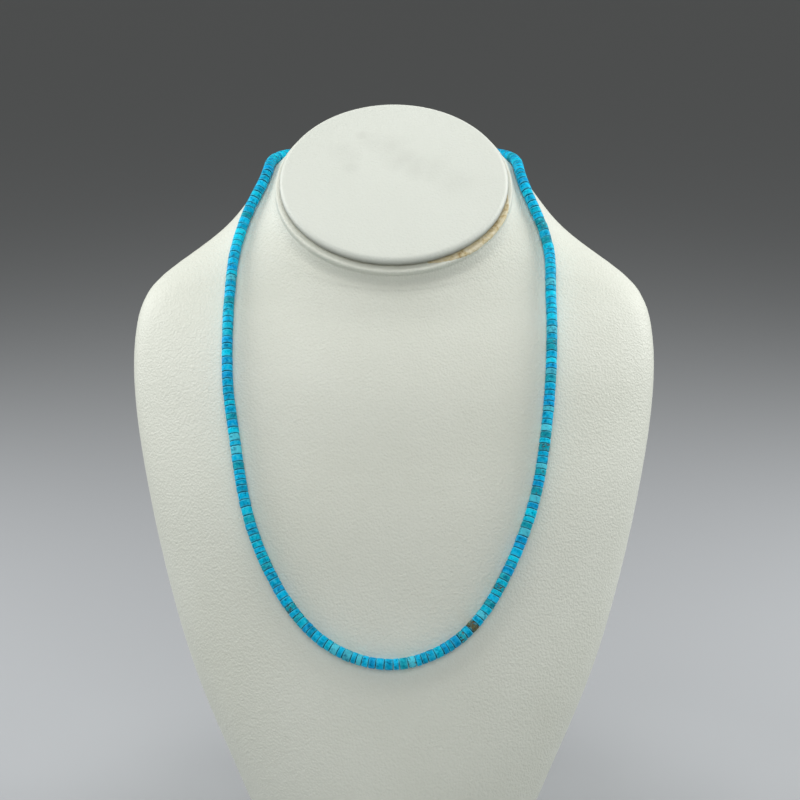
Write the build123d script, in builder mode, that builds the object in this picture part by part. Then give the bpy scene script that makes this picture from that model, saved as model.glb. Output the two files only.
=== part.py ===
# Turquoise bead necklace resting on a white neck bust.
# Millimetres. The origin is the centre of the bust's base, +Z is up and the chest faces -Y.

import bisect
import math
import os
import random
from collections import namedtuple

from build123d import *

os.makedirs("parts", exist_ok=True)

# Bust
bust_height = 268.6          # base to the middle of the neck's slanted top
shoulder_width = 215.5
bust_depth = 166.0           # chest to nape, seen from the side
neck_width = 97.0            # rim of the neck, side to side
neck_depth = 96.5            # rim of the neck, front to back along its slanted top
neck_tilt = 38.0             # slant of the neck's top, degrees, front edge low
neck_set_back = 58.2         # middle of the neck's top behind the middle of the base
neck_length = 20.7           # rim to the start of the shoulders, square to the slanted top
rim_round = 1.6              # radius of the rim's edge
base_round = 2.0             # radius of the base's edge

# Cap
cap_thickness = 3.6
cap_side_inset = 1.2         # how far the cap's edge stays inside the rim at its two sides
cap_end_inset = 2.2          # the same at its front and back
cap_edge_round = 1.5
glue_thickness = 0.6
glue_inset = 1.2             # how far the glue bed's edge stays inside the cap's

# Necklace
bead_diameter = 4.5
bead_diameter_spread = 0.18  # the smallest bead is this much under size
bead_pitch = 2.75            # mean spacing of the beads along the string
bead_length_spread = 0.26    # share by which a bead is longer or shorter than the mean
bead_gap = 0.46              # clear space between two beads' flat faces, along the string
bead_edge_round = 0.2
bore_diameter = 1.0
thread_diameter = 0.6
string_clearance = 0.4       # beads to the bust's surface
clasp_length = 7.0
clasp_diameter = 4.6
clasp_edge_round = 0.8
clasp_bore_diameter = 1.4
thread_end_gap = 1.0         # between the thread's two ends, inside the clasp
route_step = 6.5             # spacing of the points that the thread's path is worked out from
arc_share = 0.45             # share of the shorter run that each corner's arc takes up
trail_steps = 150            # fine steps that the route is measured with
bead_seed = 11               # order of the bead sizes

# Route of the string, from the nape round the right side, the front and the left side to the nape.
# Each point is a turn about the neck's axis, in degrees from straight ahead and positive to the
# right, and a height as a share of bust_height.
route_points = [
    (180, 1.040),
    (160, 1.039),
    (138, 1.035),
    (116, 1.024),
    (101.5, 1.002),
    (93, 0.966),
    (84.5, 0.918),
    (70, 0.851),
    (58, 0.786),
    (50, 0.720),
    (44, 0.653),
    (38.5, 0.588),
    (32.5, 0.524),
    (26, 0.462),
    (19, 0.408),
    (9.5, 0.367),
    (-1, 0.352),
    (-11.5, 0.367),
    (-21, 0.407),
    (-28.5, 0.461),
    (-35, 0.523),
    (-40.5, 0.587),
    (-46, 0.653),
    (-52.5, 0.720),
    (-60, 0.785),
    (-71.5, 0.850),
    (-85.5, 0.917),
    (-95, 0.967),
    (-103, 1.003),
    (-117, 1.024),
    (-138, 1.035),
    (-160, 1.039),
    (-180, 1.040),
]

# Torso sections, base first. height, lean and depths are shares of bust_height and bust_depth,
# width of shoulder_width, tilt of neck_tilt. The rounds say how far the arcs at the sides reach
# round, from 0 for the least that the oval's width and depth allow to 1 for the most.
TorsoSection = namedtuple("TorsoSection", "height lean tilt width front back front_round back_round")
torso_sections = [
    TorsoSection(0.000, 0.000, 0.00, 0.420, 0.272, 0.272, 0.58, 0.55),
    TorsoSection(0.130, 0.009, 0.00, 0.585, 0.328, 0.350, 0.51, 0.54),
    TorsoSection(0.270, 0.030, 0.00, 0.732, 0.316, 0.392, 0.38, 0.50),
    TorsoSection(0.430, 0.084, 0.10, 0.858, 0.312, 0.431, 0.26, 0.44),
    TorsoSection(0.580, 0.163, 0.21, 0.947, 0.328, 0.415, 0.22, 0.34),
    TorsoSection(0.692, 0.241, 0.32, 0.994, 0.339, 0.376, 0.19, 0.21),
    TorsoSection(0.774, 0.301, 0.40, 0.998, 0.343, 0.339, 0.19, 0.10),
    TorsoSection(0.836, 0.343, 0.48, 0.950, 0.327, 0.312, 0.20, 0.07),
    TorsoSection(0.881, 0.367, 0.56, 0.804, 0.304, 0.296, 0.25, 0.15),
]

# Neck sections, shoulders first. drop is a share of neck_length below the slanted top, width,
# front and back are shares of neck_width and neck_depth, set_back of neck_depth.
NeckSection = namedtuple("NeckSection", "drop set_back tilt width front back front_round back_round")
neck_sections = [
    NeckSection(1.00, -0.080, 0.66, 1.459, 0.528, 0.494, 0.37, 0.26),
    NeckSection(0.70, -0.009, 0.79, 1.282, 0.542, 0.480, 0.44, 0.35),
    NeckSection(0.45, 0.014, 0.92, 1.160, 0.550, 0.490, 0.47, 0.44),
    NeckSection(0.21, 0.000, 1.00, 1.046, 0.511, 0.507, 0.48, 0.55),
    NeckSection(0.00, 0.000, 1.00, 1.000, 0.500, 0.497, 0.49, 0.56),
]


def side_turn(half_width, depth, share):
    """Degrees that an oval's side arc turns, between the least and the most that its shape allows."""
    slope = 2 * math.degrees(math.atan2(depth, half_width))
    least = max(0, 90 - slope)
    most = min(90, 180 - slope)
    return least + share * (most - least)


def oval_side(half_width, depth, turn):
    """Radii of the side arc and the wide arc of an oval's half, tangent where the side arc has turned."""
    across = math.cos(math.radians(turn))
    along = math.sin(math.radians(turn))
    apart = (half_width - depth) / (across + along - 1)
    return half_width - apart * across, depth + apart * along


def oval(half_width, front, back, front_round, back_round):
    """Draw a closed oval of six tangent arcs, its widest line on the sketch's X axis."""
    front_turn = side_turn(half_width, front, front_round)
    back_turn = side_turn(half_width, back, back_round)
    front_side, front_wide = oval_side(half_width, front, front_turn)
    back_side, back_wide = oval_side(half_width, back, back_turn)
    CenterArc((0, front_wide - front), front_wide, front_turn - 180, 180 - 2 * front_turn)
    CenterArc((half_width - front_side, 0), front_side, -front_turn, front_turn)
    CenterArc((half_width - back_side, 0), back_side, 0, back_turn)
    CenterArc((0, back - back_wide), back_wide, back_turn, 180 - 2 * back_turn)
    CenterArc((back_side - half_width, 0), back_side, 180 - back_turn, back_turn)
    CenterArc((front_side - half_width, 0), front_side, 180, front_turn)


def tilted_plane(centre, tilt):
    """A section's plane, its normal leaning towards the viewer by tilt degrees."""
    lean = math.radians(tilt)
    return Plane(origin=centre, x_dir=(1, 0, 0), z_dir=(0, -math.sin(lean), math.cos(lean)))


neck_top = tilted_plane((0, neck_set_back, bust_height), neck_tilt)


def torso_oval(row, inset):
    """Draw one torso section, pulled in by inset all round."""
    half_width = row.width * shoulder_width / 2
    front = row.front * bust_depth
    back = row.back * bust_depth
    oval(half_width - inset, front - inset, back - inset, row.front_round, row.back_round)


def neck_oval(row, inset):
    """Draw one neck section, pulled in by inset all round."""
    half_width = row.width * neck_width / 2
    front = row.front * neck_depth
    back = row.back * neck_depth
    oval(half_width - inset, front - inset, back - inset, row.front_round, row.back_round)


# Bust, one closed form from the flat base to the slanted top of the neck, with both ends' edges eased
with BuildPart() as bust:
    with BuildSketch(Plane.XY):
        with BuildLine():
            torso_oval(torso_sections[0], base_round)
        make_face()
    for row in torso_sections:
        height = max(row.height * bust_height, base_round)
        with BuildSketch(tilted_plane((0, row.lean * bust_depth, height), row.tilt * neck_tilt)):
            with BuildLine():
                torso_oval(row, 0)
            make_face()
    for row in neck_sections:
        drop = max(row.drop * neck_length, rim_round)
        foot = neck_top.offset(-drop).from_local_coords((0, row.set_back * neck_depth, 0))
        with BuildSketch(tilted_plane(foot, row.tilt * neck_tilt)):
            with BuildLine():
                neck_oval(row, 0)
            make_face()
    with BuildSketch(neck_top):
        with BuildLine():
            neck_oval(neck_sections[-1], rim_round)
        make_face()
    loft()
bust.part.label = "bust"
export_step(bust.part, "parts/bust.step")

# Glue bed and cap, two flat ovals stacked on the slanted top
cap_half_width = neck_width / 2 - cap_side_inset
cap_half_depth = neck_depth / 2 - cap_end_inset

with BuildPart() as cap_glue:
    with BuildSketch(neck_top):
        Ellipse(cap_half_width - glue_inset, cap_half_depth - glue_inset)
    extrude(amount=glue_thickness)
cap_glue.part.label = "cap_glue"
export_step(cap_glue.part, "parts/cap_glue.step")

with BuildPart() as neck_cap:
    with BuildSketch(neck_top.offset(glue_thickness)):
        Ellipse(cap_half_width, cap_half_depth)
    extrude(amount=cap_thickness)
    fillet(neck_cap.edges(), cap_edge_round)
neck_cap.part.label = "neck_cap"
export_step(neck_cap.part, "parts/neck_cap.step")

# String of beads, a loop that rests on the bust all the way round
bust_skin = bust.part.shell()
string_lift = bead_diameter / 2 + string_clearance


def string_point(turn, height):
    """Where the string's axis stands over the bust, met by a level ray from the neck's axis."""
    heading = math.radians(turn)
    ray = Axis((0, neck_set_back, height), (math.sin(heading), -math.cos(heading), 0))
    point, normal = bust_skin.find_intersection_points(ray)[-1]
    return point + normal * string_lift


# The drape is the route's smooth curve in turn and height, level at the nape, and the corners
# stand evenly along it in space
with BuildLine():
    drape_points = [(turn, share * bust_height) for turn, share in route_points]
    drape = Spline(*drape_points, tangents=[(-1, 0), (-1, 0)])

trail = [string_point(*tuple(drape @ (i / trail_steps))[:2]) for i in range(trail_steps + 1)]
reached = [0.0]
for here, there in zip(trail, trail[1:]):
    reached.append(reached[-1] + (there - here).length)


def point_along(distance):
    """The string's point at a distance from the nape, measured along the trail."""
    step = min(max(bisect.bisect_right(reached, distance) - 1, 0), trail_steps - 1)
    share = (distance - reached[step]) / (reached[step + 1] - reached[step])
    return string_point(*tuple(drape @ ((step + share) / trail_steps))[:2])


loop_length = reached[-1]
corner_count = round((loop_length - thread_end_gap) / route_step)
corner_spacing = (loop_length - thread_end_gap) / corner_count
corners = [point_along(thread_end_gap / 2 + i * corner_spacing) for i in range(corner_count + 1)]

arc_radii = []
for before, corner, after in zip(corners, corners[1:], corners[2:]):
    half_turn = math.radians((corner - before).get_angle(after - corner)) / 2
    shorter_run = min((corner - before).length, (after - corner).length)
    arc_radii.append(arc_share * shorter_run / math.tan(half_turn))
print("thread arc radii from", round(min(arc_radii), 1), "to", round(max(arc_radii), 1))

with BuildLine() as thread_path:
    FilletPolyline(*corners, radius=arc_radii)
path = thread_path.wire()

# Thread, one round cord through every bead, its two ends inside the clasp
with BuildPart() as thread:
    with BuildSketch(Plane(origin=path @ 0, z_dir=path % 0)):
        Circle(thread_diameter / 2)
    sweep(path=path)
thread.part.label = "thread"
export_step(thread.part, "parts/thread.step")
section_area = math.pi * thread_diameter**2 / 4
print("thread length", round(path.length, 1), "volume over section times length:",
      round(thread.part.volume / (section_area * path.length), 4))

# Clasp, one plain drilled barrel at the nape
nape = (path @ 0 + path @ 1) / 2
with BuildPart() as clasp:
    with BuildSketch(Plane(origin=nape, z_dir=(1, 0, 0))):
        Circle(clasp_diameter / 2)
    extrude(amount=clasp_length / 2, both=True)
    fillet(clasp.edges().filter_by(GeomType.CIRCLE), clasp_edge_round)
    with BuildSketch(Plane(origin=nape, z_dir=(1, 0, 0))):
        Circle(clasp_bore_diameter / 2)
    extrude(amount=clasp_length / 2, both=True, mode=Mode.SUBTRACT)
clasp.part.label = "clasp"
export_step(clasp.part, "parts/clasp.step")

# Beads, drilled discs of uneven length and width, square to the thread and clear of each other
string_start = (clasp_length - thread_end_gap) / 2 + bead_gap
string_end = path.length - string_start
bead_count = round((string_end - string_start) / bead_pitch)
sizes = random.Random(bead_seed)
shares = [1 + bead_length_spread * sizes.uniform(-1, 1) for _ in range(bead_count)]
share_length = (string_end - string_start) / sum(shares)

beads = []
place = string_start
for share in shares:
    room = share * share_length
    seat = path.location_at((place + room / 2), position_mode=PositionMode.LENGTH)
    radius = (bead_diameter - bead_diameter_spread * sizes.random()) / 2
    with BuildPart() as bead:
        with BuildSketch(Plane(seat)):
            Circle(radius)
            Circle(bore_diameter / 2, mode=Mode.SUBTRACT)
        extrude(amount=(room - bead_gap) / 2, both=True)
        fillet(bead.edges().filter_by(GeomType.CIRCLE).group_by(SortBy.RADIUS)[-1], bead_edge_round)
    beads.append(bead.part)
    place += room
string = Compound(label="beads", children=beads)
export_step(string, "parts/beads.step")
print("beads", bead_count, "pitch", round((string_end - string_start) / bead_count, 3))
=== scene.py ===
# Turquoise bead necklace on a white leatherette neck bust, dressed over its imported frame.
# Metres, +Z up, the chest facing -Y.

import math
import random
from types import SimpleNamespace

import bpy
import numpy as np
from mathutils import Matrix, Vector, noise
from mathutils.bvhtree import BVHTree


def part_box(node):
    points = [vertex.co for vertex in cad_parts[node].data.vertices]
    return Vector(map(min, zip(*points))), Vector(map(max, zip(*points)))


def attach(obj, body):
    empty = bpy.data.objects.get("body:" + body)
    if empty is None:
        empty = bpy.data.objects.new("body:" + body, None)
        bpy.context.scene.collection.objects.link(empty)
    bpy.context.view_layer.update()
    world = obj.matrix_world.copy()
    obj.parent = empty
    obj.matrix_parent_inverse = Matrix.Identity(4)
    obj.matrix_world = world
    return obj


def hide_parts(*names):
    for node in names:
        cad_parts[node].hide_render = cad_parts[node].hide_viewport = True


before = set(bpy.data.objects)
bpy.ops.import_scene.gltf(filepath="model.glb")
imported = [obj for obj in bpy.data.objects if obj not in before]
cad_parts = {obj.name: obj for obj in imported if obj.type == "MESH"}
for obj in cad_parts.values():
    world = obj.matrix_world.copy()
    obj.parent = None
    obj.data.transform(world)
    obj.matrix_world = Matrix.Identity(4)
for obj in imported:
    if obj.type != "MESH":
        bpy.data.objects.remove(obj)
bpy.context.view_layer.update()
mm = 0.001

# Bust
# A hollow display form covered in white leatherette, pulled tight from the foot up to the slanted
# top of the neck, where the covering is folded over the edge and leaves a low lip all round.

neck_tilt = math.radians(38.0)
cap_thickness = 3.6 * mm
glue_thickness = 0.6 * mm
lip_height = 2.0 * mm
lip_depth = 0.40 * mm
lip_round = 0.9 * mm
fold_inset = 3.5 * mm
foot_round = 2.0 * mm
round_steps = 8
covering_columns = 256
rows_per_stop = 24

# A hidden face is drawn to its middle from this far inside its edge
hidden_inset = 20 * mm

across = Vector((1, 0, 0))
neck_up = Vector((0, -math.sin(neck_tilt), math.cos(neck_tilt)))
neck_back = neck_up.cross(across)
cap_low, cap_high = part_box("neck_cap")
cap_middle = (Vector(cap_low) + Vector(cap_high)) / 2
neck_middle = cap_middle - neck_up * (glue_thickness + cap_thickness / 2)

# Where the rows of the covering are laid from: height and set-back as shares of the neck's middle,
# tilt as a share of the neck's
spine_stops = [
    (0.00, 0.00, 0.00),
    (0.27, 0.08, 0.00),
    (0.43, 0.24, 0.10),
    (0.58, 0.46, 0.21),
    (0.69, 0.68, 0.32),
    (0.77, 0.86, 0.40),
    (0.84, 0.98, 0.48),
    (0.89, 1.06, 0.58),
    (0.93, 1.08, 0.72),
    (0.96, 1.06, 0.88),
    (0.988, 1.012, 1.00),
]

# How the lip swells out of the neck: share of its height below the edge, and share of its depth
lip_swell = [(1.0, 0.0), (0.97, 0.35), (0.93, 0.72), (0.87, 0.95), (0.78, 1.0), (0.60, 1.0)]


def turned(angle):
    """Unit direction in a section's plane before it is tilted, from the front round by the right."""
    return math.sin(angle), -math.cos(angle)


def ring_surface(name, rings):
    """One smooth closed surface through rings of points, its first and last rings drawn to a point."""
    rings = np.asarray(rings)
    count, around = rings.shape[:2]
    points = np.concatenate([rings.reshape(-1, 3), rings[:1].mean(axis=1), rings[-1:].mean(axis=1)])
    faces = []
    for r in range(count - 1):
        for c in range(around):
            d = (c + 1) % around
            faces.append((r * around + c, r * around + d, (r + 1) * around + d, (r + 1) * around + c))
    for c in range(around):
        d = (c + 1) % around
        faces.append((count * around, d, c))
        faces.append((count * around + 1, (count - 1) * around + c, (count - 1) * around + d))
    mesh = bpy.data.meshes.new(name)
    mesh.from_pydata(points.tolist(), [], faces)
    mesh.shade_smooth()
    piece = bpy.data.objects.new(name, mesh)
    bpy.context.scene.collection.objects.link(piece)
    return piece


form = BVHTree.FromObject(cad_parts["bust"], bpy.context.evaluated_depsgraph_get())
angles = [2 * math.pi * c / covering_columns for c in range(covering_columns)]


def covering_row(middle, tilt):
    """The row of the covering that a tilted section through middle cuts out of the form."""
    section_back = Vector((0, math.cos(tilt), math.sin(tilt)))
    row = []
    for angle in angles:
        right, back = turned(angle)
        point = form.ray_cast(middle, across * right + section_back * back)[0]
        row.append(point)
    return row


stops = np.array(spine_stops)
stations = np.linspace(0, len(stops) - 1, (len(stops) - 1) * rows_per_stop + 1)
covering = []
for station in stations:
    height, back, lean = (np.interp(station, range(len(stops)), stops[:, k]) for k in range(3))
    row_height = max(height * neck_middle.z, foot_round)
    covering.append(covering_row(Vector((0, back * neck_middle.y, row_height)), lean * neck_tilt))

# The foot's edge is turned under, and the neck's edge is turned over with its lip
foot = np.array(covering[0])
foot_in = foot / np.linalg.norm(foot[:, :2], axis=1)[:, None]
foot_in[:, 2] = 0
foot_rows = []
for k in range(round_steps):
    turn = math.pi / 2 * (1 - k / round_steps)
    inset = foot_round * (1 - math.cos(turn))
    row = foot - foot_in * inset
    row[:, 2] = foot_round * (1 - math.sin(turn))
    foot_rows.append(row)

collar = np.array(covering_row(neck_middle - neck_up * lip_height, neck_tilt))
collar = collar + np.array(neck_up) * lip_height
outward = collar - np.array(neck_middle)
outward = outward / np.linalg.norm(outward, axis=1)[:, None]
lip_rows = []
for depth, proud in lip_swell:
    lip_rows.append(collar + outward * lip_depth * proud - np.array(neck_up) * lip_height * depth)
for k in range(round_steps + 1):
    turn = math.pi / 2 * k / round_steps
    reach = lip_depth - lip_round * (1 - math.cos(turn))
    sunk = lip_round * (1 - math.sin(turn))
    lip_rows.append(collar + outward * reach - np.array(neck_up) * sunk)
lip_rows.append(collar - outward * fold_inset)
lip_rows.append(collar - outward * hidden_inset)

bust = ring_surface("bust_covering", foot_rows + covering + lip_rows)


def new_material(name, roughness, specular=0.5):
    """A node material and its shader, with its usual roughness and its specular level."""
    material = bpy.data.materials.new(name)
    material.use_nodes = True
    shader = material.node_tree.nodes["Principled BSDF"]
    shader.inputs["Roughness"].default_value = roughness
    shader.inputs["Specular IOR Level"].default_value = specular
    return material, shader


def add_node(material, kind, settings=None, **inputs):
    """A node of that kind. Its inputs go by name, or by i and a number, and are values or sockets."""
    node = material.node_tree.nodes.new(kind)
    for key, value in (settings or {}).items():
        setattr(node, key, value)
    for key, value in inputs.items():
        socket = node.inputs[int(key[1:])] if key[1:].isdigit() else node.inputs[key]
        if isinstance(value, bpy.types.NodeSocket):
            material.node_tree.links.new(value, socket)
        else:
            socket.default_value = value
    return node


def join(shader, socket, source):
    """Joins that socket of the shader to its source."""
    shader.id_data.links.new(source, shader.inputs[socket])


def own_place(material):
    """Where a point of the surface lies, in the space of its own object."""
    return add_node(material, "ShaderNodeTexCoord").outputs["Object"]


def ramp(material, value, start, end, first=0.0, last=1.0, smooth=False):
    """A value that goes from first to last while the given one goes from start to end."""
    settings = {"interpolation_type": "SMOOTHSTEP"} if smooth else {}
    return add_node(material, "ShaderNodeMapRange", settings,
                    i0=value, i1=start, i2=end, i3=first, i4=last).outputs[0]


def blend_colours(material, share, first, second):
    """The colour between first and second by share."""
    # A Mix node takes two colours at its inputs 6 and 7, and gives their blend at its output 2
    return add_node(material, "ShaderNodeMix", {"data_type": "RGBA"},
                    i0=share, i6=first, i7=second).outputs[2]


def add_relief(material, shader, height, strength, depth):
    """Raises the surface by height, at that strength and depth."""
    bump = add_node(material, "ShaderNodeBump", Height=height, Strength=strength, Distance=depth)
    join(shader, "Normal", bump.outputs[0])


def colour(red, green, blue):
    """A screen colour from 0 to 255 as the linear colour that the shader takes."""
    shares = [level / 255 for level in (red, green, blue)]
    return (*(s / 12.92 if s <= 0.04 else ((s + 0.055) / 1.055) ** 2.4 for s in shares), 1.0)


cell_wander = 1.0 * mm
crease_share = 0.8
grain_depth = 0.28 * mm
pit_darkening = 0.35


def leatherette(name, light, dark, grain_strength):
    """White leatherette: uneven small cells and creases, and faint clouds. Also gives its colour."""
    material, shader = new_material(name, roughness=0.52, specular=0.35)
    place = own_place(material)
    wander = add_node(material, "ShaderNodeTexNoise", Vector=place, Scale=480.0, Detail=3.0)
    bent = add_node(material, "ShaderNodeVectorMath", {"operation": "MULTIPLY_ADD"},
                    i0=wander.outputs["Color"], i1=(cell_wander,) * 3, i2=place).outputs[0]
    cells = add_node(material, "ShaderNodeTexVoronoi", {"feature": "SMOOTH_F1"},
                     Vector=bent, Scale=1050.0, Smoothness=0.6).outputs["Distance"]
    creases = add_node(material, "ShaderNodeTexNoise",
                       Vector=bent, Scale=1500.0, Detail=4.0, Roughness=0.6).outputs[0]
    grain = add_node(material, "ShaderNodeMath", {"operation": "MULTIPLY_ADD"},
                     i0=creases, i1=crease_share, i2=cells).outputs[0]
    clouds = add_node(material, "ShaderNodeTexNoise",
                      Vector=place, Scale=14.0, Detail=5.0, Roughness=0.55).outputs[0]
    base = blend_colours(material, ramp(material, clouds, start=0.35, end=0.75), light, dark)
    # The grain's pits are darker than the rest of the surface
    pits = ramp(material, grain, start=0.35, end=0.95, last=pit_darkening)
    base = blend_colours(material, pits, base, dark)
    join(shader, "Base Color", base)
    join(shader, "Roughness", ramp(material, creases, start=0.3, end=0.7, first=0.44, last=0.62))
    add_relief(material, shader, grain, grain_strength, grain_depth)
    return material, shader, base


bust_leather = leatherette("bust_leatherette", light=colour(233, 236, 225),
                           dark=colour(222, 225, 212), grain_strength=0.62)[0]
bust.data.materials.append(bust_leather)
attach(bust, "root")
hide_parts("bust")

# Glue bed
# Yellowed old glue that holds the cap down on the neck's top. Round most of the cap it shows only as
# a thin line in the shade. At the front right a ragged strip of it has run out over the lip and dried.

cap_half_width = (cap_high[0] - cap_low[0]) / 2
cap_half_depth = 46.05 * mm
bed_inset = 1.2 * mm
bed_bulge = 0.15 * mm
bed_clearance = 0.02 * mm


def on_neck(angle, inset, height):
    """A point over the neck's slanted top, that far inside the cap's edge and that high."""
    right, back = turned(angle)
    side = right * (cap_half_width - inset)
    along = back * (cap_half_depth - inset)
    return neck_middle + across * side + neck_back * along + neck_up * height


def oval_ring(inset, height, columns=covering_columns):
    """A ring of points over the neck's top."""
    return [on_neck(2 * math.pi * c / columns, inset, height) for c in range(columns)]


glue_bed = ring_surface("glue_bed", [
    oval_ring(hidden_inset, bed_clearance),
    oval_ring(bed_inset, bed_clearance),
    oval_ring(bed_inset - bed_bulge, glue_thickness / 2),
    oval_ring(bed_inset, glue_thickness - bed_clearance),
    oval_ring(hidden_inset, glue_thickness - bed_clearance),
])

# The dried strip: where it runs round the neck, how far it reaches over the lip, how ragged its
# outer edge is, and how thick and lumpy it is
strip_from = math.radians(17)
strip_to = math.radians(84)
strip_steps = 260
strip_points = 12
edge_steps = 6
strip_root = 2.0 * mm
strip_down = 0.9 * mm
strip_sunk = 0.15 * mm
start_taper = 0.30
end_taper = 0.22
usual_cover = 0.80
cover_wander = 0.12
cover_raggedness = 0.08
wander_scale = 22
ragged_scale = 95
strip_skin = 0.05 * mm
strip_body = 0.20 * mm
strip_lumps = 0.13 * mm
lump_scale = 900


def unevenness(place, falloff=0.8, step=2.0, layers=4):
    """Noise at that place in layers, each finer by step than the one before it."""
    return noise.fractal(place, falloff, step, layers)


def rim_line(angle):
    """The way a run of glue takes at that angle, from under the cap out over the lip and down it."""
    place = angle / (2 * math.pi) * covering_columns
    near = int(place)
    edge = Vector(collar[near] + (collar[near + 1] - collar[near]) * (place - near))
    out = (edge - neck_middle).normalized()
    line = [on_neck(angle, strip_root, 0), on_neck(angle, 0, 0)]
    for k in range(edge_steps + 1):
        turn = math.pi / 2 * k / edge_steps
        reach = lip_depth - lip_round * (1 - math.sin(turn))
        line.append(edge + out * reach - neck_up * lip_round * (1 - math.cos(turn)))
    line.append(edge + out * lip_depth - neck_up * (lip_round + strip_down))
    return line, out


def strip_ring(step):
    """One closed slice across the dried strip, ragged at its outer edge and lumpy on top."""
    share = step / (strip_steps - 1)
    angle = strip_from + (strip_to - strip_from) * share
    line, out = rim_line(angle)
    lengths = np.concatenate([[0], np.cumsum([(b - a).length for a, b in zip(line, line[1:])])])

    # The line rounds the lip from its third point on
    edge_start = lengths[2]
    edge_end = lengths[2 + edge_steps]

    # The last two numbers of a place only choose a line through the noise
    wander = unevenness(Vector((angle * wander_scale, 0.5, 2.0)), falloff=0.9, step=2.1)
    ragged = unevenness(Vector((angle * ragged_scale, 4.0, 1.0)))
    taper = min(1.0, share / start_taper, (1 - share) / end_taper)
    cover = max(0.0, taper * (usual_cover + cover_wander * wander + cover_raggedness * ragged))
    run = strip_root + min(cover, 1.0) * (lengths[-1] - strip_root)

    top = []
    under = []
    for k in range(strip_points):
        outer_share = k / (strip_points - 1)
        along = run * outer_share
        spot = Vector([np.interp(along, lengths, [p[axis] for p in line]) for axis in range(3)])
        bend = min(1.0, max(0.0, (along - edge_start) / (edge_end - edge_start)))
        facing = (neck_up * (1 - bend) + out * bend).normalized()
        lump = unevenness(spot * lump_scale)
        crown = math.sqrt(max(0.0, 1 - outer_share ** 4))
        thickness = strip_skin + (strip_body + strip_lumps * lump) * crown
        top.append(spot + facing * thickness * taper)
        under.append(spot - facing * strip_sunk)
    return top + under[::-1]


dried_strip = ring_surface("dried_glue_strip", [strip_ring(step) for step in range(strip_steps)])

glue, glue_shader = new_material("old_glue", roughness=0.62, specular=0.4)
glue_place = own_place(glue)
glue_blots = add_node(glue, "ShaderNodeTexNoise",
                      Vector=glue_place, Scale=330.0, Detail=6.0, Roughness=0.65)
glue_tone = add_node(glue, "ShaderNodeValToRGB", i0=glue_blots.outputs[0])
glue_ramp = glue_tone.color_ramp
glue_ramp.elements[0].position = 0.36
glue_ramp.elements[0].color = colour(172, 140, 90)
glue_ramp.elements[1].position = 0.58
glue_ramp.elements[1].color = colour(228, 219, 190)
amber = glue_ramp.elements.new(0.44)
amber.color = colour(212, 197, 152)
join(glue_shader, "Base Color", glue_tone.outputs[0])
glue_grit = add_node(glue, "ShaderNodeTexNoise", Vector=glue_place, Scale=1900.0, Detail=4.0)
add_relief(glue, glue_shader, glue_grit.outputs[0], strength=0.6, depth=0.4 * mm)

for piece in (glue_bed, dried_strip):
    piece.data.materials.append(glue)
    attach(piece, "root")
    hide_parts("cap_glue")

# Neck cap
# An oval board padded thinly and wrapped in the same leatherette, a little smoother from handling.
# Its covering rolls over the edge and is gathered underneath, where the cap is glued to the neck,
# and its face carries grey scuffs.

cap_top_round = 2.0 * mm
cap_under_round = 1.0 * mm
cap_crown = 0.5 * mm
crown_sink = 0.02 * mm
under_steps = 6
top_steps = 12
cap_columns = 384
gather_depth = 0.10 * mm
gather_on_top = 0.5
gather_scale = 15
bulge_share = 0.9
bulge_beyond_gather = 0.25
bulge_scale = 2.2

# Where the crown is laid between the cap's edge and its middle, in millimetres inside the edge
crown_reach = 46.0
crown_insets = [3.2, 4.5, 6.5, 9.0, 12.0, 16.0, 21.0, 27.0, 34.0, 41.0, 45.0]

# The cap's rings: distance inside its widest line, height over its underside, share of the gathers
cap_profile = []
for k in range(under_steps + 1):
    turn = math.pi / 2 * k / under_steps
    inset = cap_under_round * (1 - math.sin(turn))
    height = cap_under_round * (1 - math.cos(turn))
    cap_profile.append((inset, height, 1.0))
for k in range(top_steps + 1):
    turn = math.pi / 2 * k / top_steps
    inset = cap_top_round * (1 - math.cos(turn))
    height = cap_thickness - cap_top_round * (1 - math.sin(turn))
    cap_profile.append((inset, height, gather_on_top * (1 - k / top_steps)))
for inset in crown_insets:
    rise = cap_crown * (1 - (1 - inset / crown_reach) ** 2)
    cap_profile.append((inset * mm, cap_thickness + rise - crown_sink, 0.0))


def cap_ring(inset, height, gathered):
    """One ring of the cap's covering, puckered where it is gathered."""
    bulging = min(1.0, gathered + bulge_beyond_gather) if height < cap_thickness else 0.0
    ring = []
    for c in range(cap_columns):
        angle = 2 * math.pi * c / cap_columns
        # The last number of a place only chooses a plane through the noise
        gather_place = Vector((math.cos(angle) * gather_scale, math.sin(angle) * gather_scale, 3.0))
        bulge_place = Vector((math.cos(angle) * bulge_scale, math.sin(angle) * bulge_scale, 8.0))
        wave = unevenness(gather_place, layers=3)
        bulge = noise.noise(bulge_place)
        pucker = gather_depth * (gathered * wave + bulging * bulge_share * bulge)
        ring.append(on_neck(angle, inset - pucker, glue_thickness + height))
    return ring


neck_cap = ring_surface("neck_cap_covering", [oval_ring(hidden_inset, glue_thickness, cap_columns)]
                        + [cap_ring(*stop) for stop in cap_profile])

cap_leather, cap_shader, clean = leatherette("cap_leatherette", light=colour(232, 236, 227),
                                             dark=colour(224, 228, 218), grain_strength=0.48)
cap_place = own_place(cap_leather)
scuff_noise = add_node(cap_leather, "ShaderNodeTexNoise",
                       Vector=cap_place, Scale=160.0, Detail=5.0, Roughness=0.6)
scuff_patches = ramp(cap_leather, scuff_noise.outputs[0], start=0.3, end=0.7, first=0.45)

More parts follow.
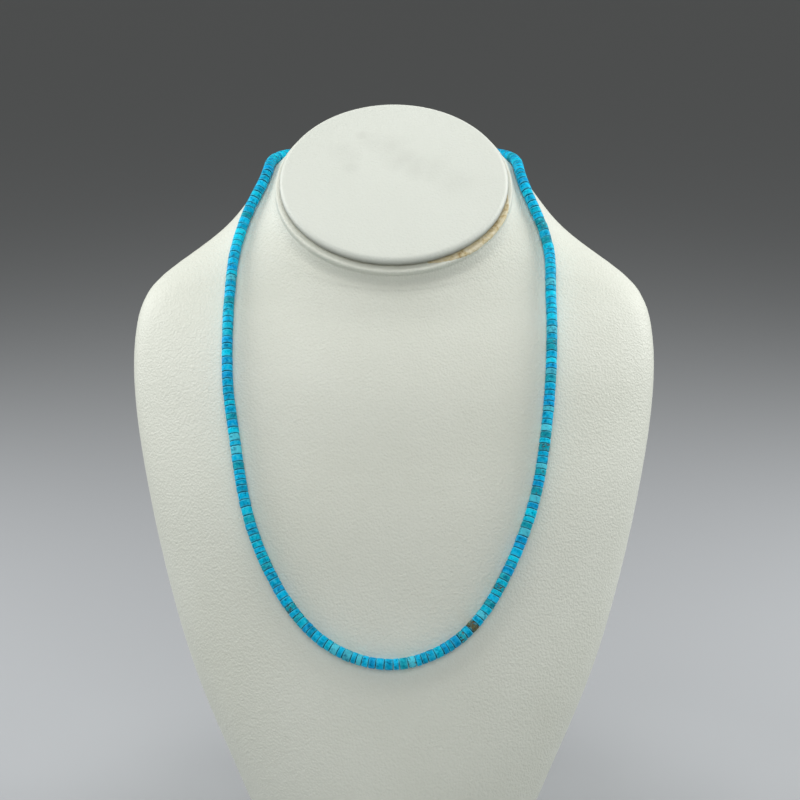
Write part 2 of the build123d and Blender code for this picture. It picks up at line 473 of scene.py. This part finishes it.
# Scuffs on the cap's face: right and back of its middle in millimetres, radius, and strength
scuffs = [
    (-8.0, 21.0, 9.5, 0.14),
    (-2.0, 18.5, 11.0, 0.18),
    (3.0, 11.0, 11.0, 0.27),
    (9.0, 6.5, 10.5, 0.24),
    (16.0, 4.5, 11.5, 0.18),
    (25.0, -2.0, 12.0, 0.14),
    (-22.0, 16.0, 9.0, 0.14),
    (-18.0, 13.0, 7.5, 0.15),
    (-18.0, 6.5, 5.5, 0.20),
    (-13.5, 25.5, 4.0, 0.26),
]
scuffed = 0.0
cap_face = neck_middle + neck_up * (glue_thickness + cap_thickness)
for right, back, radius, strength in scuffs:
    spot = cap_face + across * right * mm + neck_back * back * mm
    away = add_node(cap_leather, "ShaderNodeVectorMath", {"operation": "DISTANCE"},
                    i0=cap_place, i1=spot[:]).outputs["Value"]
    dab = ramp(cap_leather, away, start=0.0, end=radius * mm, first=strength, last=0.0, smooth=True)
    scuffed = add_node(cap_leather, "ShaderNodeMath", {"operation": "MAXIMUM"},
                       i0=scuffed, i1=dab).outputs[0]
scuffed = add_node(cap_leather, "ShaderNodeMath", {"operation": "MULTIPLY"},
                   i0=scuffed, i1=scuff_patches).outputs[0]
scuffs_and_rim_shade = blend_colours(cap_leather, scuffed, clean, colour(176, 178, 168))

# Painted shade: the edge is darkened towards the cap's underside all round, most where it is gathered
# underneath
rim_shade_strength = 0.72
full_shade_height = 0.5 * mm
no_shade_height = 3.2 * mm
underside = neck_middle.dot(neck_up) + glue_thickness
level_on_cap = add_node(cap_leather, "ShaderNodeVectorMath", {"operation": "DOT_PRODUCT"},
                        i0=cap_place, i1=neck_up[:]).outputs["Value"]
# Painted shade on the cap's rolled edge, darkest at its underside
rim_painted_shade = ramp(cap_leather, level_on_cap, start=underside + full_shade_height,
                end=underside + no_shade_height, first=rim_shade_strength, last=0.0, smooth=True)
scuffs_and_rim_shade = blend_colours(cap_leather, rim_painted_shade, scuffs_and_rim_shade, colour(112, 112, 102))
join(cap_shader, "Base Color", scuffs_and_rim_shade)

neck_cap.data.materials.append(cap_leather)
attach(neck_cap, "root")
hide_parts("neck_cap")

# Thread
# A waxed beading cord of twisted strands that the beads are strung on. It shows only as a glint
# between two beads, and both its ends are held in the clasp.

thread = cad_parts["thread"]
cord_finish, cord_shader = new_material("waxed_cord", roughness=0.6)
cord_twist = add_node(cord_finish, "ShaderNodeTexWave", {"bands_direction": "DIAGONAL"},
                      Vector=own_place(cord_finish), Scale=900.0, Distortion=1.5, Detail=2.0).outputs[0]
cord_tone = blend_colours(cord_finish, cord_twist, colour(150, 146, 134), colour(206, 202, 190))
join(cord_shader, "Base Color", cord_tone)
add_relief(cord_finish, cord_shader, cord_twist, strength=0.7, depth=0.1 * mm)
thread.data.materials.clear()
thread.data.materials.append(cord_finish)

# Clasp
# A small silver barrel at the nape, turned and satin finished. The two ends of the thread go into
# its bore.

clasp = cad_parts["clasp"]
silver, silver_shader = new_material("satin_silver", roughness=0.3)
silver_shader.inputs["Metallic"].default_value = 1.0
turning = add_node(silver, "ShaderNodeMapping", Vector=own_place(silver), Scale=(9000.0, 300.0, 300.0))
turned_marks = add_node(silver, "ShaderNodeTexNoise",
                        Vector=turning.outputs[0], Scale=1.0, Detail=3.0).outputs[0]
silver_tone = blend_colours(silver, turned_marks, colour(196, 194, 188), colour(226, 224, 218))
join(silver_shader, "Base Color", silver_tone)
join(silver_shader, "Roughness", ramp(silver, turned_marks, start=0.3, end=0.7, first=0.2, last=0.38))
clasp.data.materials.clear()
clasp.data.materials.append(silver)

# Beads
# Turquoise discs cut from drilled rod and ground round on the string, so they keep crisp edges and
# differ a little in length, width and squareness. The stone runs from deep blue to pale blue and
# teal, with brown and black matrix in some, and the end faces are darkened as painted shade in the
# seams.

bead_stretch = 0.28 * mm
bead_edge = 0.24 * mm
bead_bore = 0.5 * mm
bore_edge = 0.08 * mm
bead_columns = 28
# Painted shade in the seams: the end faces are darkened to this share of the stone's colour
seam_shade = 0.22
bead_order = random.Random(41)

# How far one bead may differ from the next, in width, shade, squareness, place, chips and matrix
width_spread = (-0.006, 0.012)
shade_spread = (0.82, 1.18)
most_lean = 0.03
most_oval = 0.012
place_spread = 0.035 * mm
chip_odds = 0.3
chip_spread = (0.05 * mm, 0.22 * mm)
chip_sharpness = 14
chip_length_share = 0.8
chip_level = 0.8
matrix_odds = 0.12
matrix_spread = (0.1, 0.35)
seed_reach = 60

stone_colours = {
    "azure": colour(0, 186, 234),
    "blue": colour(0, 168, 228),
    "cyan": colour(2, 206, 242),
    "aqua": colour(84, 208, 230),
    "teal": colour(18, 168, 188),
    "olive": colour(110, 118, 78),
}
usual_stones = ["azure"] * 14 + ["blue"] * 3 + ["cyan"] * 6 + ["teal"]

# Beads that stand out, counted from the lowest one with the right side positive: stone and share
# of matrix
marked_beads = {
    2: ("teal", 0.15),
    3: ("aqua", 0.70),
    6: ("azure", 0.55),
    11: ("teal", 0.75),
    12: ("azure", 0.0),
    13: ("olive", 0.85),
    15: ("aqua", 0.0),
    20: ("teal", 0.80),
    29: ("aqua", 0.25),
    30: ("teal", 0.30),
    34: ("aqua", 0.10),
    35: ("teal", 0.60),
    36: ("blue", 0.0),
    38: ("teal", 0.55),
    39: ("aqua", 0.30),
    41: ("azure", 0.0),
    42: ("teal", 0.75),
    45: ("aqua", 0.10),
    48: ("aqua", 0.0),
    53: ("teal", 0.15),
    54: ("aqua", 0.05),
    58: ("teal", 0.60),
    59: ("teal", 0.55),
    61: ("aqua", 0.20),
    69: ("aqua", 0.0),
    79: ("teal", 0.60),
    80: ("teal", 0.50),
    -4: ("aqua", 0.15),
    -6: ("aqua", 0.05),
    -8: ("aqua", 0.0),
    -15: ("teal", 0.20),
    -17: ("teal", 0.75),
    -20: ("blue", 0.60),
    -32: ("teal", 0.25),
    -42: ("aqua", 0.20),
    -44: ("aqua", 0.0),
    -47: ("teal", 0.10),
    -68: ("aqua", 0.35),
}

same_place = 0.001 * mm


def loose_solids(mesh):
    """The corners of each separate solid in a mesh, as arrays of points."""
    corners = np.empty(len(mesh.vertices) * 3)
    mesh.vertices.foreach_get("co", corners)
    ends = np.empty(len(mesh.edges) * 2, dtype=int)
    mesh.edges.foreach_get("vertices", ends)
    rounded = (corners.reshape(-1, 3) / same_place).round()
    places, welded = np.unique(rounded, axis=0, return_inverse=True)
    corners = places * same_place
    ends = welded.reshape(-1)[ends.reshape(-1, 2)]
    group = np.arange(len(corners))
    while True:
        low = np.minimum(group[ends[:, 0]], group[ends[:, 1]])
        joined = group.copy()
        np.minimum.at(joined, ends[:, 0], low)
        np.minimum.at(joined, ends[:, 1], low)
        joined = joined[joined]
        if (joined == group).all():
            break
        group = joined
    order = np.argsort(group, kind="stable")
    splits = np.flatnonzero(np.diff(group[order])) + 1
    return [corners[part] for part in np.split(order, splits)]


# The beads in their order round the string, with the right side after the lowest one
solids = loose_solids(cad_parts["beads"].data)
middles = np.array([(part.min(axis=0) + part.max(axis=0)) / 2 for part in solids])
loop_middle = middles.mean(axis=0)
spread = np.linalg.svd(middles - loop_middle)[2]
clock = np.arctan2((middles - loop_middle) @ spread[1], (middles - loop_middle) @ spread[0])
round_order = np.argsort(clock)
solids = [solids[k] for k in round_order]
middles = middles[round_order]
lowest = int(np.argmin(middles[:, 2]))
beads_on = 5
if middles[(lowest + beads_on) % len(middles)][0] < middles[lowest][0]:
    solids = solids[::-1]
    middles = middles[::-1]
    lowest = len(middles) - 1 - lowest

# Half of a bead's outline, from its bore over the end face to its side: distance from the axis in the
# bore and over the bead's radius elsewhere, share of the half length, and share of painted highlight
half_profile = [
    (bead_bore, 0.92, 0.0),
    (bead_bore + bore_edge, 1.0, 0.0),
    (-bead_edge * 1.6, 1.0, 0.0),
    (-bead_edge, 1.0, 0.2),
    (-bead_edge * 0.30, 0.93, 1.0),
    (0.0, 0.80, 0.8),
    (0.0, 0.5, 0.0),
]
bead_profile = [(depth, -level, highlight_share) for depth, level, highlight_share in half_profile]
bead_profile += [(0.0, 0.0, 0.0)] + half_profile[::-1]


def drawn_bead(from_lowest):
    """What sets one bead apart from the next. Another order of the draws would give other beads."""
    bead = SimpleNamespace()
    bead.width = 1 + bead_order.uniform(*width_spread)
    bead.stone, bead.matrix = marked_beads.get(from_lowest, (bead_order.choice(usual_stones), 0.0))
    if from_lowest not in marked_beads and bead_order.random() < matrix_odds:
        bead.matrix = bead_order.uniform(*matrix_spread)
    bead.shade = bead_order.uniform(*shade_spread)
    bead.lean = bead_order.uniform(0.0, most_lean)
    bead.lean_at = bead_order.uniform(0, 2 * math.pi)
    bead.oval = bead_order.uniform(0.0, most_oval)
    bead.chip = bead_order.uniform(*chip_spread) if bead_order.random() < chip_odds else 0.0
    bead.chip_at = bead_order.uniform(0, 2 * math.pi)
    bead.chip_end = bead_order.choice((-1, 1))
    bead.seed = bead_order.uniform(0, seed_reach)
    bead.off = [bead_order.gauss(0, place_spread) for way in range(2)]
    return bead


def bead_corner(bead, angle, depth, level, half_length, radius):
    """How far from the bead's axis and how high along it a corner of its outline lies."""
    if depth > 0:
        return depth, level * half_length + bead.lean * math.cos(angle - bead.lean_at) * depth
    reach = (radius + depth) * (1 + bead.oval * math.cos(2 * (angle - bead.lean_at)))
    height = level * half_length + bead.lean * math.cos(angle - bead.lean_at) * reach
    if level * bead.chip_end > chip_level:
        near = max(0.0, math.cos(angle - bead.chip_at)) ** chip_sharpness
        height -= bead.chip_end * bead.chip * near * chip_length_share
        reach -= bead.chip * near
    return reach, height


# The corners of a disc lie on its end faces or near them, so nearly the farthest one along the
# axis gives half its length
end_percentile = 95

points = []
faces = []
stone_values = []
# The edge values carry a painted highlight along each bead's rounded edges
bead_values = {"painted_edge_highlight": [], "matrix_share": [], "stone_seed": []}
for number, (part, middle) in enumerate(zip(solids, middles)):
    ahead = middles[(number + 1) % len(middles)] - middles[number - 1]
    axis = Vector(ahead).normalized()
    side = axis.orthogonal().normalized()
    other = axis.cross(side)
    along = (part - middle) @ np.array(axis)
    away = np.linalg.norm((part - middle) - along[:, None] * np.array(axis), axis=1)
    from_lowest = (number - lowest + len(middles) // 2) % len(middles) - len(middles) // 2
    bead = drawn_bead(from_lowest)
    half_length = np.percentile(np.abs(along), end_percentile) + bead_stretch / 2
    radius = away.max() * bead.width
    centre = Vector(middle) + (side * bead.off[0] + other * bead.off[1])
    first = len(points)
    for depth, level, highlight_share in bead_profile:
        # The end faces carry painted shade from the seams between the beads
        end_face_shade = seam_shade if abs(level) == 1.0 else 1.0
        tint = [min(1.0, v * bead.shade * end_face_shade) for v in stone_colours[bead.stone][:3]] + [1.0]
        for c in range(bead_columns):
            angle = 2 * math.pi * c / bead_columns
            reach, height = bead_corner(bead, angle, depth, level, half_length, radius)
            spoke = side * math.cos(angle) + other * math.sin(angle)
            points.append(centre + axis * height + spoke * reach)
            stone_values.extend(tint)
            bead_values["painted_edge_highlight"].append(highlight_share)
            bead_values["matrix_share"].append(bead.matrix)
            bead_values["stone_seed"].append(bead.seed)
    rings = len(bead_profile)
    for r in range(rings):
        s = (r + 1) % rings
        for c in range(bead_columns):
            d = (c + 1) % bead_columns
            faces.append((first + r * bead_columns + c, first + r * bead_columns + d,
                          first + s * bead_columns + d, first + s * bead_columns + c))

bead_mesh = bpy.data.meshes.new("turquoise_beads")
bead_mesh.from_pydata([tuple(p) for p in points], [], faces)
bead_mesh.attributes.new("stone", "FLOAT_COLOR", "POINT").data.foreach_set("color", stone_values)
for title, values in bead_values.items():
    bead_mesh.attributes.new(title, "FLOAT", "POINT").data.foreach_set("value", values)
bead_mesh.shade_smooth()
beads = bpy.data.objects.new("turquoise_beads", bead_mesh)
bpy.context.scene.collection.objects.link(beads)

turquoise, stone_shader = new_material("turquoise_stone", roughness=0.38, specular=0.05)
stone_place = own_place(turquoise)


def carried(title, output="Fac"):
    """The value of that title that the beads carry."""
    return add_node(turquoise, "ShaderNodeAttribute", {"attribute_name": title}).outputs[output]


stone_with_seam_shade = carried("stone", "Color")
painted_edge_highlight = carried("painted_edge_highlight")
matrix_share = carried("matrix_share")
stone_seed = carried("stone_seed")


def stone_noise(**inputs):
    """Noise through the stone that differs from bead to bead."""
    return add_node(turquoise, "ShaderNodeTexNoise", {"noise_dimensions": "4D"},
                    Vector=stone_place, W=stone_seed, **inputs).outputs[0]


# Clouds of deeper and paler stone, and paler rounded edges that are a painted highlight
highlight_strength = 0.36
clouding = stone_noise(Scale=720.0, Detail=5.0, Roughness=0.65)
deeper = ramp(turquoise, clouding, start=0.50, end=0.33, last=0.92)
paler = ramp(turquoise, clouding, start=0.54, end=0.68, last=0.80)
tone = blend_colours(turquoise, deeper, stone_with_seam_shade, colour(0, 96, 138))
tone = blend_colours(turquoise, paler, tone, colour(70, 220, 244))
# The rounded edges are lightened as a painted highlight
highlight_amount = add_node(turquoise, "ShaderNodeMath", {"operation": "MULTIPLY"}, i0=painted_edge_highlight, i1=highlight_strength)
tone = blend_colours(turquoise, highlight_amount.outputs[0], tone, colour(100, 212, 234))

# Matrix, where the veining rises over a threshold that falls as the bead's share of it grows
veining = stone_noise(Scale=760.0, Detail=6.0, Roughness=0.65, Distortion=1.2)
threshold = ramp(turquoise, matrix_share, start=0.0, end=1.0, first=0.78, last=0.46)
over = add_node(turquoise, "ShaderNodeMath", {"operation": "SUBTRACT"}, i0=veining, i1=threshold)
matrix_mask = ramp(turquoise, over.outputs[0], start=0.0, end=0.035)
earth_share = ramp(turquoise, stone_noise(Scale=1500.0, Detail=3.0), start=0.42, end=0.6)
earth_tone = blend_colours(turquoise, earth_share, colour(38, 44, 36), colour(122, 98, 58))
tone = blend_colours(turquoise, matrix_mask, tone, earth_tone)
join(stone_shader, "Base Color", tone)

# An uneven polish, a fine grit, and matrix that lies a little lower than the stone
polish = ramp(turquoise, veining, start=0.35, end=0.65, first=0.30, last=0.46)
join(stone_shader, "Roughness", polish)
stone_grit = add_node(turquoise, "ShaderNodeTexNoise", Vector=stone_place, Scale=2600.0, Detail=3.0)
stone_relief = add_node(turquoise, "ShaderNodeMath", {"operation": "SUBTRACT"},
                        i0=stone_grit.outputs[0], i1=matrix_mask)
add_relief(turquoise, stone_shader, stone_relief.outputs[0], strength=0.35, depth=0.08 * mm)

bead_mesh.materials.append(turquoise)
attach(beads, "root")
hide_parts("beads")

# Setting
# A plain pale floor, soft lights above, at the upper left and at each side, a wide one high in
# front, and the camera a little above the necklace and square to the chest.

floor_reach = 30.0
floor_mesh = bpy.data.meshes.new("floor")
floor_mesh.from_pydata([(-floor_reach, -floor_reach, 0), (floor_reach, -floor_reach, 0),
                        (floor_reach, floor_reach, 0), (-floor_reach, floor_reach, 0)],
                       [], [(0, 1, 2, 3)])
floor = bpy.data.objects.new("floor", floor_mesh)
bpy.context.scene.collection.objects.link(floor)
floor_paint, floor_shader = new_material("pale_floor", roughness=0.8, specular=0.2)
floor_shader.inputs["Base Color"].default_value = colour(176, 179, 182)
floor_mesh.materials.append(floor_paint)

upper_aim = (0, 0, 0.2)
lower_aim = (0, 0, 0.14)


def softbox(name, place, target, width, power):
    """A square soft light that faces its target."""
    light = bpy.data.lights.new(name, "AREA")
    light.size = width
    light.energy = power
    lamp = bpy.data.objects.new(name, light)
    lamp.location = place
    lamp.rotation_euler = (Vector(target) - Vector(place)).to_track_quat("-Z", "Y").to_euler()
    bpy.context.scene.collection.objects.link(lamp)


softbox("overhead_light", (0.0, -0.10, 1.2), upper_aim, width=0.35, power=2.9)
softbox("key_light", (-0.45, -0.35, 1.15), upper_aim, width=0.35, power=1.3)
softbox("left_light", (-0.8, 0.30, 0.6), upper_aim, width=0.5, power=5.4)
softbox("right_light", (0.8, 0.30, 0.6), upper_aim, width=0.5, power=6.2)
softbox("front_light", (0.0, -1.45, 0.95), lower_aim, width=1.0, power=8.3)

world = bpy.data.worlds.new("studio")
world.use_nodes = True
background = world.node_tree.nodes["Background"]
background.inputs["Color"].default_value = colour(238, 238, 234)
background.inputs["Strength"].default_value = 0.18
bpy.context.scene.world = world
bpy.context.scene.view_settings.view_transform = "Standard"

camera_down = 12
camera_data = bpy.data.cameras.new("camera")
camera_data.sensor_width = 36.0
camera_data.lens = 104.65
camera = bpy.data.objects.new("camera", camera_data)
camera.location = (2.5 * mm, -903.0 * mm, 382.3 * mm)
camera.rotation_euler = (math.radians(90 - camera_down), 0, 0)
bpy.context.scene.collection.objects.link(camera)
bpy.context.scene.camera = camera
